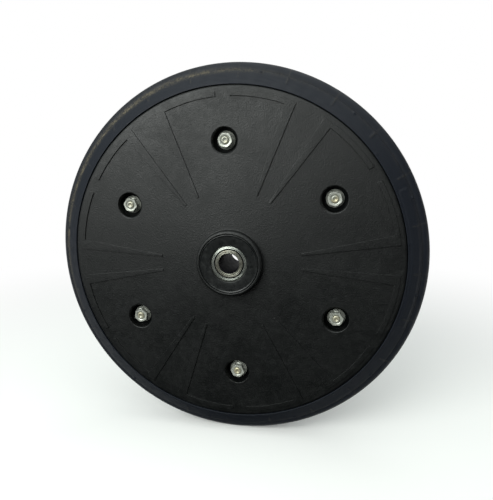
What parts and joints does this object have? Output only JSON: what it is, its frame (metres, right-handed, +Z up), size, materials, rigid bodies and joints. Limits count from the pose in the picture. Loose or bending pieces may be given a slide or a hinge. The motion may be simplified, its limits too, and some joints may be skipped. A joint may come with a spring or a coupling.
{
  "type": "press wheel",
  "caption": "Planter press wheel: ribbed moulded half rims bolted together round a rubber tyre with a narrow round crown, turning on sealed ball bearings and a steel axle bush.",
  "frame": {"origin": "centre of the wheel, on the axle, in the plane where the half rims meet", "axes": "+Y along the axle, away from the side with the nuts; +Z up; +X to the right when the nuts face the viewer"},
  "size_m": [0.3048, 0.05, 0.3048],
  "materials": {
    "tyre_rubber": "moulded rubber, satin, dusty along the shoulder",
    "rim_plastic": "moulded, fine grain, satin",
    "zinc_steel": "zinc plated",
    "bush_steel": "turned, yellow passivated",
    "spacer_steel": "cut tube",
    "bearing_steel": "ground",
    "ball_steel": "polished",
    "cage_plastic": "moulded polyamide",
    "seal_rubber": "moulded",
    "cap_plastic": "smooth satin"
  },
  "bodies": {
    "hub_core": {"axle_bush": "bush_steel", "inner_spacer": "spacer_steel", "front_inner_ring": "bearing_steel", "rear_inner_ring": "bearing_steel"},
    "wheel": {"tyre": "tyre_rubber", "front_half_rim": "rim_plastic", "rear_half_rim": "rim_plastic", "clamp_bolts": "zinc_steel", "clamp_nuts": "zinc_steel", "front_outer_ring": "bearing_steel", "front_outboard_seal": "seal_rubber", "front_inboard_seal": "seal_rubber", "front_dust_cap": "cap_plastic", "rear_outer_ring": "bearing_steel", "rear_outboard_seal": "seal_rubber", "rear_inboard_seal": "seal_rubber", "rear_dust_cap": "cap_plastic"},
    "front_ball_set": {"front_balls": "ball_steel", "front_cage": "cage_plastic"},
    "rear_ball_set": {"rear_balls": "ball_steel", "rear_cage": "cage_plastic"}
  },
  "joints": [
    {"name": "wheel_spin", "type": "hinge", "parent": "hub_core", "child": "wheel", "pos_m": [0, 0, 0], "axis": [0, 1, 0], "continuous": true},
    {"name": "front_cage_spin", "type": "hinge", "parent": "hub_core", "child": "front_ball_set", "pos_m": [0, -0.0171, 0], "axis": [0, 1, 0], "continuous": true},
    {"name": "rear_cage_spin", "type": "hinge", "parent": "hub_core", "child": "rear_ball_set", "pos_m": [0, 0.0171, 0], "axis": [0, 1, 0], "continuous": true}
  ],
  "couplings": [
    {"joint": "front_cage_spin", "follows": "wheel_spin", "ratio": 0.59375},
    {"joint": "rear_cage_spin", "follows": "wheel_spin", "ratio": 0.59375}
  ]
}
